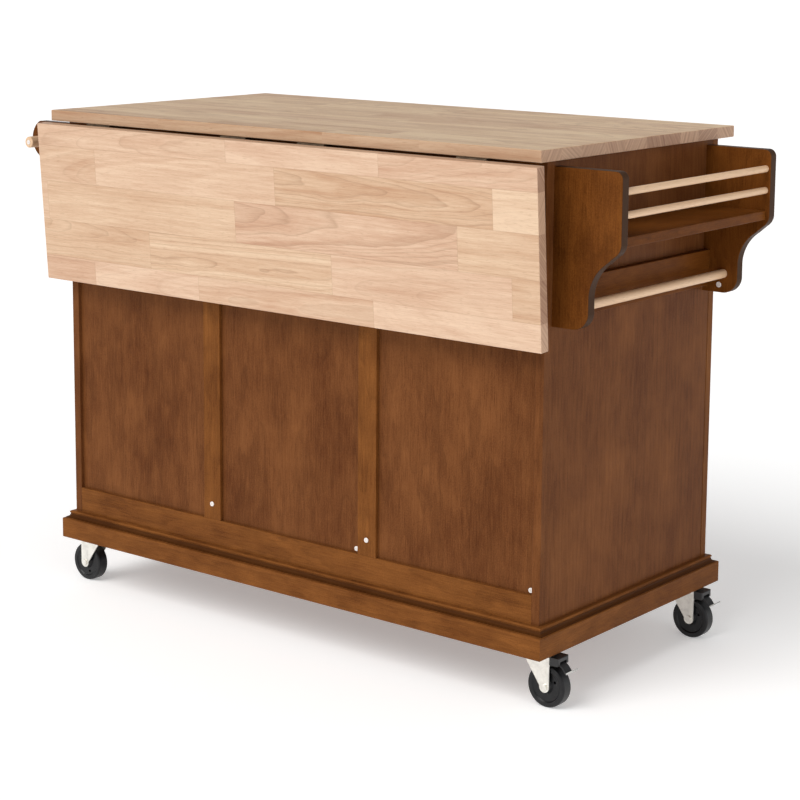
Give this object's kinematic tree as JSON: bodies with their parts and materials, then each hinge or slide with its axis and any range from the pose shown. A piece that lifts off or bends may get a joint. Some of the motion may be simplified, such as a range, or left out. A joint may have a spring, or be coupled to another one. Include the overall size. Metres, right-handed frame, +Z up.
{
  "type": "kitchen island cart",
  "caption": "Rolling kitchen island cabinet with drawers, doors, a hanging drop leaf, an open end rack with guard rods and a towel bar.",
  "frame": {"origin": "on the floor, at the middle of the whole cart's bounding box", "axes": "+Z up, +X along the worktop towards the towel bar, doors and drawers face -Y, drop leaf hangs at +Y"},
  "size_m": [1.3562, 0.6373, 0.93],
  "materials": {
    "solid_rubberwood": "clear satin lacquer over edge-glued staves",
    "dowel_wood": "clear satin lacquer on straight-grained dowel",
    "brown_panel": "satin walnut-brown stain over veneer",
    "brown_frame": "satin walnut-brown stain over solid wood",
    "inner_board": "plain sealed plywood",
    "bright_metal": "bright zinc plate",
    "dark_bronze": "dark bronze plate",
    "black_paint": "black paint on steel",
    "wheel_rubber": "hard black rubber, satin"
  },
  "bodies": {
    "cabinet": {"worktop": "solid_rubberwood", "rack_guard_rods": "dowel_wood", "rack_towel_rod": "dowel_wood", "towel_bar": "dowel_wood", "side_panel_left": "brown_panel", "side_panel_right": "brown_panel", "back_panels": "brown_panel", "face_frame": "brown_frame", "back_rails": "brown_frame", "back_mullions": "brown_frame", "plinth_boards": "brown_frame", "base_moulding": "brown_frame", "rack_brackets": "brown_frame", "rack_shelf": "brown_frame", "rack_back_rail": "brown_frame", "towel_brackets": "brown_frame", "bottom_panel": "inner_board", "partitions": "inner_board", "shelves": "inner_board", "top_stretchers": "inner_board", "corner_blocks": "inner_board", "caster_stems": "bright_metal", "cap_screws": "bright_metal", "shelf_pins": "bright_metal", "drawer_runners": "bright_metal", "prop_brackets": "bright_metal", "door_hinge_plates": "dark_bronze", "worktop_hinge_plates": "dark_bronze"},
    "drawer_left": {"drawer_front_left": "brown_frame", "drawer_box_left": "inner_board", "drawer_hardware_left": "dark_bronze"},
    "prop_left": {"leaf_prop_left": "bright_metal"},
    "door_outer_left": {"door_frame_outer_left": "brown_frame", "door_panel_outer_left": "brown_panel", "door_hardware_outer_left": "dark_bronze"},
    "door_middle_left": {"door_frame_middle_left": "brown_frame", "door_panel_middle_left": "brown_panel", "door_hardware_middle_left": "dark_bronze"},
    "caster_front_left": {"caster_fork_front_left": "bright_metal"},
    "wheel_front_left": {"caster_wheel_front_left": "wheel_rubber"},
    "pedal_front_left": {"brake_pedal_front_left": "black_paint"},
    "caster_rear_left": {"caster_fork_rear_left": "bright_metal"},
    "wheel_rear_left": {"caster_wheel_rear_left": "wheel_rubber"},
    "pedal_rear_left": {"brake_pedal_rear_left": "black_paint"},
    "drawer_right": {"drawer_front_right": "brown_frame", "drawer_box_right": "inner_board", "drawer_hardware_right": "dark_bronze"},
    "prop_right": {"leaf_prop_right": "bright_metal"},
    "door_outer_right": {"door_frame_outer_right": "brown_frame", "door_panel_outer_right": "brown_panel", "door_hardware_outer_right": "dark_bronze"},
    "door_middle_right": {"door_frame_middle_right": "brown_frame", "door_panel_middle_right": "brown_panel", "door_hardware_middle_right": "dark_bronze"},
    "caster_front_right": {"caster_fork_front_right": "bright_metal"},
    "wheel_front_right": {"caster_wheel_front_right": "wheel_rubber"},
    "caster_rear_right": {"caster_fork_rear_right": "bright_metal"},
    "wheel_rear_right": {"caster_wheel_rear_right": "wheel_rubber"},
    "leaf": {"drop_leaf": "solid_rubberwood", "leaf_hinge_plates": "dark_bronze"}
  },
  "joints": [
    {"name": "leaf_hinge", "type": "hinge", "parent": "cabinet", "child": "leaf", "pos_m": [0, 0.29576, 0.907], "axis": [1, 0, 0], "range_deg": [0, 94]},
    {"name": "prop_swing_left", "type": "hinge", "parent": "cabinet", "child": "prop_left", "pos_m": [-0.184, 0.26826, 0.79743], "axis": [1, 0, 0], "range_deg": [0, 135.2]},
    {"name": "drawer_slide_left", "type": "slide", "parent": "cabinet", "child": "drawer_left", "axis": [0, -1, 0], "range_m": [0, 0.3]},
    {"name": "door_hinge_outer_left", "type": "hinge", "parent": "cabinet", "child": "door_outer_left", "pos_m": [-0.536, -0.28174, 0.4], "axis": [0, 0, -1], "range_deg": [0, 105]},
    {"name": "door_hinge_middle_left", "type": "hinge", "parent": "cabinet", "child": "door_middle_left", "pos_m": [-0.178, -0.28174, 0.4], "axis": [0, 0, -1], "range_deg": [0, 90]},
    {"name": "caster_swivel_front_left", "type": "hinge", "parent": "cabinet", "child": "caster_front_left", "pos_m": [-0.533, -0.23774, 0.09], "axis": [0, 0, 1], "continuous": true},
    {"name": "wheel_spin_front_left", "type": "hinge", "parent": "caster_front_left", "child": "wheel_front_left", "pos_m": [-0.549, -0.23774, 0.0365], "axis": [0, 1, 0], "continuous": true},
    {"name": "pedal_press_front_left", "type": "hinge", "parent": "caster_front_left", "child": "pedal_front_left", "pos_m": [-0.566, -0.23774, 0.082], "axis": [0, -1, 0], "range_deg": [0, 10]},
    {"name": "caster_swivel_rear_left", "type": "hinge", "parent": "cabinet", "child": "caster_rear_left", "pos_m": [-0.533, 0.22226, 0.09], "axis": [0, 0, 1], "continuous": true},
    {"name": "wheel_spin_rear_left", "type": "hinge", "parent": "caster_rear_left", "child": "wheel_rear_left", "pos_m": [-0.549, 0.22226, 0.0365], "axis": [0, 1, 0], "continuous": true},
    {"name": "pedal_press_rear_left", "type": "hinge", "parent": "caster_rear_left", "child": "pedal_rear_left", "pos_m": [-0.566, 0.22226, 0.082], "axis": [0, -1, 0], "range_deg": [0, 10]},
    {"name": "prop_swing_right", "type": "hinge", "parent": "cabinet", "child": "prop_right", "pos_m": [0.184, 0.26826, 0.79743], "axis": [1, 0, 0], "range_deg": [0, 135.2]},
    {"name": "drawer_slide_right", "type": "slide", "parent": "cabinet", "child": "drawer_right", "axis": [0, -1, 0], "range_m": [0, 0.3]},
    {"name": "door_hinge_outer_right", "type": "hinge", "parent": "cabinet", "child": "door_outer_right", "pos_m": [0.536, -0.28174, 0.4], "axis": [0, 0, 1], "range_deg": [0, 105]},
    {"name": "door_hinge_middle_right", "type": "hinge", "parent": "cabinet", "child": "door_middle_right", "pos_m": [0.178, -0.28174, 0.4], "axis": [0, 0, 1], "range_deg": [0, 90]},
    {"name": "caster_swivel_front_right", "type": "hinge", "parent": "cabinet", "child": "caster_front_right", "pos_m": [0.533, -0.23774, 0.09], "axis": [0, 0, 1], "continuous": true},
    {"name": "wheel_spin_front_right", "type": "hinge", "parent": "caster_front_right", "child": "wheel_front_right", "pos_m": [0.549, -0.23774, 0.0365], "axis": [0, 1, 0], "continuous": true},
    {"name": "caster_swivel_rear_right", "type": "hinge", "parent": "cabinet", "child": "caster_rear_right", "pos_m": [0.533, 0.22226, 0.09], "axis": [0, 0, 1], "continuous": true},
    {"name": "wheel_spin_rear_right", "type": "hinge", "parent": "caster_rear_right", "child": "wheel_rear_right", "pos_m": [0.549, 0.22226, 0.0365], "axis": [0, 1, 0], "continuous": true}
  ],
  "couplings": [
    {"joint": "prop_swing_left", "follows": "leaf_hinge", "ratio": 1.4362},
    {"joint": "prop_swing_right", "follows": "leaf_hinge", "ratio": 1.4362}
  ]
}
